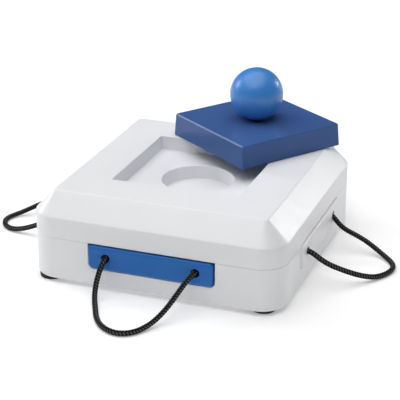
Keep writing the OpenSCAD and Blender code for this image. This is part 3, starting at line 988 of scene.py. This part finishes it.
def cross_directions(line):
    """Two directions across a line at each point, carried along it without a twist."""
    ahead = unit_rows(np.gradient(line, axis=0))
    side = np.cross(ahead[0], ROPE_FIRST_ACROSS)
    sides = []
    for direction in ahead:
        side = side - direction * np.dot(side, direction)
        side = side / np.linalg.norm(side)
        sides.append(side)
    sides = np.array(sides)
    return sides, np.cross(ahead, sides)


def over_under(crossings):
    """Rise and fall of a strand that goes over two others and then under two."""
    return np.clip(math.sqrt(2) * np.cos(np.pi * (crossings - 0.5) / 2), -1, 1)


def braid(along, turn, pitch):
    """Relief of a braid from 0 to 1, and the place across the strand that lies on top.

    Half of the strands wind to the left and half to the right."""
    left = STRANDS * turn / (2 * np.pi) + along / pitch
    right = STRANDS * turn / (2 * np.pi) - along / pitch
    left_across = left - np.floor(left) - 0.5
    right_across = right - np.floor(right) - 0.5
    left_rise = over_under(right - 0.5 + np.floor(left))
    right_rise = -over_under(left - 0.5 + np.floor(right))
    left_top = np.sqrt(1 - (STRAND_ROUND * left_across) ** 2) + STRAND_LIFT * left_rise
    right_top = np.sqrt(1 - (STRAND_ROUND * right_across) ** 2) + STRAND_LIFT * right_rise
    relief = np.clip(np.maximum(left_top, right_top) / (1 + STRAND_LIFT), 0, 1)
    return relief, np.where(left_top > right_top, left_across, right_across)


def braided_tube(line, diameter):
    """Shape of a braided cord along an even line, with its relief and fibre values."""
    sides, ups = cross_directions(line)
    along = lengths_along(line)[:, None]
    turn = np.linspace(0, 2 * np.pi, ROPE_SIDES, endpoint=False)[None, :]
    scale = diameter / ROPE_D
    relief, across = braid(along, turn, BRAID_PITCH * scale)
    radius = diameter / 2 - BRAID_DEPTH * scale * (1 - relief)
    spokes = np.cos(turn)[..., None] * sides[:, None] + np.sin(turn)[..., None] * ups[:, None]
    points = line[:, None] + radius[..., None] * spokes
    shape = loft([[Vector(point) for point in ring] for ring in points])
    return shape, relief.ravel(), across.ravel()


def add_braid(name, tubes, side, matrix, node):
    """Piece of one or more braided tubes, with the values that the cord's material reads."""
    shape = moved(joined(*[tube[0] for tube in tubes]), matrix)
    piece = add_piece(name, shape, ROPE_BLACK, side + "_drawer", [node])
    for value, column in ((RELIEF, 1), (FIBRE, 2)):
        data = piece.data.attributes.new(value, "FLOAT", "POINT")
        data.data.foreach_set("value", np.concatenate([tube[column] for tube in tubes]).astype(np.float32))
    return piece


def stopper_knot():
    """Tight knot behind a front plate, about the y axis, with the end of the cord out of its back."""
    t = np.linspace(0, 2 * np.pi, KNOT_STEPS)
    turn = KNOT_TURNS * t
    wave = KNOT_WAVES * t
    reach = KNOT_R + KNOT_WAVE * np.cos(wave)
    middle = PLATE_T + KNOT_WAVE + KNOT_CORD_D / 2
    turns = np.column_stack([reach * np.cos(turn), middle + KNOT_WAVE * np.sin(wave), reach * np.sin(turn)])
    tail_end = (KNOT_TAIL_ASIDE, middle + KNOT_TAIL, -KNOT_TAIL_DROP)
    through = np.array([(0, PLATE_T - WELD, 0), (0, middle, 0), tail_end])
    tubes = []
    for line in (turns, smooth_line(through)):
        tubes.append(braided_tube(even_line(line, ROPE_STEP), KNOT_CORD_D))
    return tubes


def rope_loops():
    knot = stopper_knot()
    for side, route in ROUTES.items():
        matrix = face_matrix(side)
        out = [(along, -away, height) for along, away, height in [ROPE_ENDS[0], *route, ROPE_ENDS[1]]]
        line = even_line(smooth_line(out), ROPE_STEP)
        loop = [braided_tube(line, ROPE_D)]
        rope = add_braid("rope_" + side + "_braid", loop, side, matrix, "rope_" + side)
        pair = []
        for end in (-1, 1):
            place = Matrix.Translation((end * ROPE_SPAN / 2, 0, ROPE_Z))
            pair.extend((moved(shape, place), relief, across) for shape, relief, across in knot)
        knots = add_braid("knots_" + side + "_tied", pair, side, matrix, "knots_" + side)


top_shell()
base_shell()
lid_shell()
ball_knob()
screws_and_washer()
feet()
drawers()
rope_loops()

# Camera, lights and floor

CAMERA_AZIMUTH = 20.54
CAMERA_ELEVATION = 23.05
CAMERA_DISTANCE = 1088.1
CAMERA_ROLL = -0.14
CAMERA_TARGET = Vector((0, 0, 38.85))
FOCAL_PIXELS = 1372.4
IMAGE_PIXELS = 400
SENSOR_W = 36
MIDDLE_PIXEL = (198, 201)
CAMERA_REACH = 100000
FLOOR_HALF = 30000
FLOOR_TONE = (0.9, 0.9, 0.9, 1)
# The floor's glow, and where it starts and stops growing
GLOW_COLOUR = (1, 1, 1, 1)
GLOW_NEAR = 0.2
GLOW_FAR = 0.45
GLOW_START = 400
GLOW_STOP = 1000
# The room's tones low and high up, and the heights of a direction between which they change
ROOM_TONES = (0.2, 0.2, 0.2), (0.02, 0.02, 0.02)
ROOM_LOW = 0.03
ROOM_HIGH = 0.2
# Softboxes, each with its place, width, height and power in watts, and the point that they aim at
SOFTBOXES = {
    "top_box": ((-150, -60, 1380), 1900, 1900, 23.8),
    "front_box": ((130, -780, 1160), 130, 130, 1.1),
    "front_left_box": ((-900, -800, 700), 200, 200, 0.2),
    "left_box": ((-1300, 130, 590), 500, 380, 4.7),
    "right_box": ((780, 1130, 400), 240, 240, 3),
}
OBJECT_MIDDLE = Vector((0, 0, 50))


def add_camera():
    azimuth = math.radians(CAMERA_AZIMUTH)
    elevation = math.radians(CAMERA_ELEVATION)
    to_camera = Vector((
        math.sin(azimuth) * math.cos(elevation),
        -math.cos(azimuth) * math.cos(elevation),
        math.sin(elevation),
    ))
    data = bpy.data.cameras.new("camera")
    data.sensor_width = SENSOR_W
    data.lens = FOCAL_PIXELS / IMAGE_PIXELS * SENSOR_W
    data.shift_x = (IMAGE_PIXELS / 2 - MIDDLE_PIXEL[0]) / IMAGE_PIXELS
    data.shift_y = (MIDDLE_PIXEL[1] - IMAGE_PIXELS / 2) / IMAGE_PIXELS
    data.clip_end = CAMERA_REACH * MM
    camera = bpy.data.objects.new("camera", data)
    camera.location = (CAMERA_TARGET + to_camera * CAMERA_DISTANCE) * MM
    look = (-to_camera).to_track_quat("-Z", "Y").to_matrix()
    roll = Matrix.Rotation(math.radians(CAMERA_ROLL), 3, "Z")
    camera.rotation_euler = (look @ roll).to_euler()
    bpy.context.scene.collection.objects.link(camera)
    bpy.context.scene.camera = camera


def add_floor():
    """Pale floor, with a glow that makes up for the lights' fall-off far from the object."""
    reach = FLOOR_HALF * MM
    mesh = bpy.data.meshes.new("floor")
    corners = [(-reach, -reach, 0), (reach, -reach, 0), (reach, reach, 0), (-reach, reach, 0)]
    mesh.from_pydata(corners, [], [(0, 1, 2, 3)])
    material, tree, shader = new_material("floor_white", roughness=0.9)
    shader.inputs["Base Color"].default_value = FLOOR_TONE
    shader.inputs["Emission Color"].default_value = GLOW_COLOUR
    place = tree.nodes.new("ShaderNodeTexCoord")
    distance = tree.nodes.new("ShaderNodeVectorMath")
    distance.operation = "LENGTH"
    tree.links.new(place.outputs["Object"], distance.inputs["Vector"])
    glow = add_node(
        tree, "ShaderNodeMapRange",
        From_Min=GLOW_START * MM, From_Max=GLOW_STOP * MM, To_Min=GLOW_NEAR, To_Max=GLOW_FAR,
    )
    tree.links.new(distance.outputs["Value"], glow.inputs["Value"])
    tree.links.new(glow.outputs["Result"], shader.inputs["Emission Strength"])
    mesh.materials.append(material)
    floor = bpy.data.objects.new("floor", mesh)
    bpy.context.scene.collection.objects.link(floor)


def add_softbox(name, place, width, height, power):
    data = bpy.data.lights.new(name, "AREA")
    data.shape = "RECTANGLE"
    data.size = width * MM
    data.size_y = height * MM
    data.energy = power
    box = bpy.data.objects.new(name, data)
    box.visible_camera = False
    box.location = Vector(place) * MM
    box.rotation_euler = (OBJECT_MIDDLE - Vector(place)).to_track_quat("-Z", "Y").to_euler()
    bpy.context.scene.collection.objects.link(box)


def add_surroundings():
    """Dim room that is pale at the level of the floor's far edge."""
    world = bpy.data.worlds.new("studio")
    world.use_nodes = True
    tree = world.node_tree
    place = tree.nodes.new("ShaderNodeTexCoord")
    parts = tree.nodes.new("ShaderNodeSeparateXYZ")
    tree.links.new(place.outputs["Generated"], parts.inputs["Vector"])
    fade = two_tone(tree, parts.outputs["Z"], *ROOM_TONES, low=ROOM_LOW, high=ROOM_HIGH)
    tree.links.new(fade, tree.nodes["Background"].inputs["Color"])
    bpy.context.scene.world = world


add_camera()
add_floor()
add_surroundings()
for box_name, box_values in SOFTBOXES.items():
    add_softbox(box_name, *box_values)
bpy.context.scene.view_settings.view_transform = "Standard"
